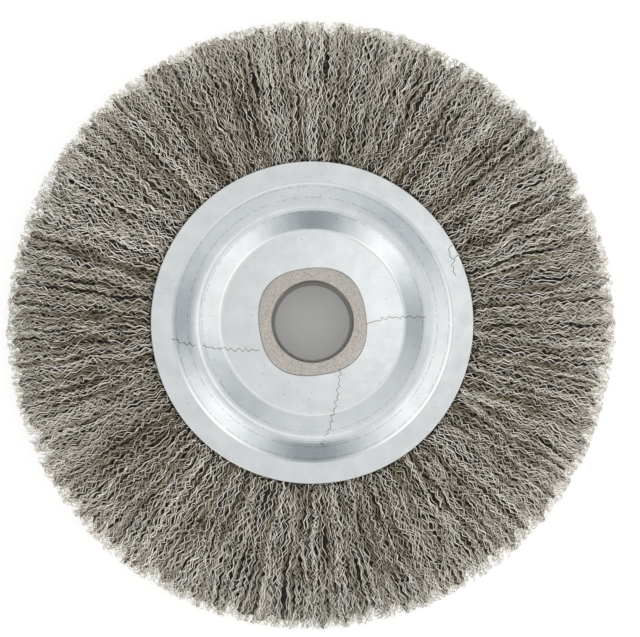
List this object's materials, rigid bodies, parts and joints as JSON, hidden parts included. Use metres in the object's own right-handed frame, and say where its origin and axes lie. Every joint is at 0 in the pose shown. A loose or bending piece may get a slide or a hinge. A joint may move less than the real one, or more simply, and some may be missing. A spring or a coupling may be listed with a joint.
{
  "type": "wire wheel brush",
  "caption": "Flat round brush of crimped steel wires, clamped between two ridged steel plates on a peened bush with a plain arbor bore.",
  "frame": {"origin": "on the arbor bore's axis, midway between the two plates", "axes": "+Z along the arbor bore, from the rear plate to the front plate; the wheel lies flat"},
  "size_m": [0.25, 0.2498, 0.0276],
  "materials": {
    "plated_sheet": "zinc-plated pressed steel",
    "bush_steel": "bare peened steel",
    "hoop_steel": "drawn steel bar",
    "crimped_wire": "crimped drawn steel wire"
  },
  "bodies": {
    "root": {"front_plate": "plated_sheet", "rear_plate": "plated_sheet", "arbor_bushing": "bush_steel", "core_ring": "hoop_steel", "wire_fill": "crimped_wire"}
  },
  "joints": []
}
